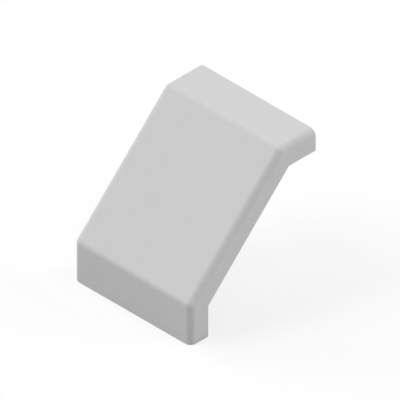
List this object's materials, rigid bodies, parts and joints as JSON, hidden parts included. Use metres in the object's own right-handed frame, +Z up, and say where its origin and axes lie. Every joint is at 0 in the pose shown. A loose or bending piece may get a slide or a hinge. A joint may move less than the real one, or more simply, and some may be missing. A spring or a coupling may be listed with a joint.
{
  "type": "gusset cover cap",
  "caption": "Moulded plastic cap over the open side of a corner gusset: a shallow tray bent at 45 degrees, with rolled edges and side skirts.",
  "frame": {"origin": "on the line where the two profile faces meet that the gusset joins, in the cap's plane of symmetry", "axes": "+X along that line, +Y towards the profile that the back rim stands against, +Z up, away from the profile that the lower rim stands on"},
  "size_m": [0.043, 0.046, 0.046],
  "materials": {
    "moulded_plastic": "light grey, fine matt moulded grain"
  },
  "bodies": {
    "root": {"cover_cap": "moulded_plastic"}
  },
  "joints": []
}
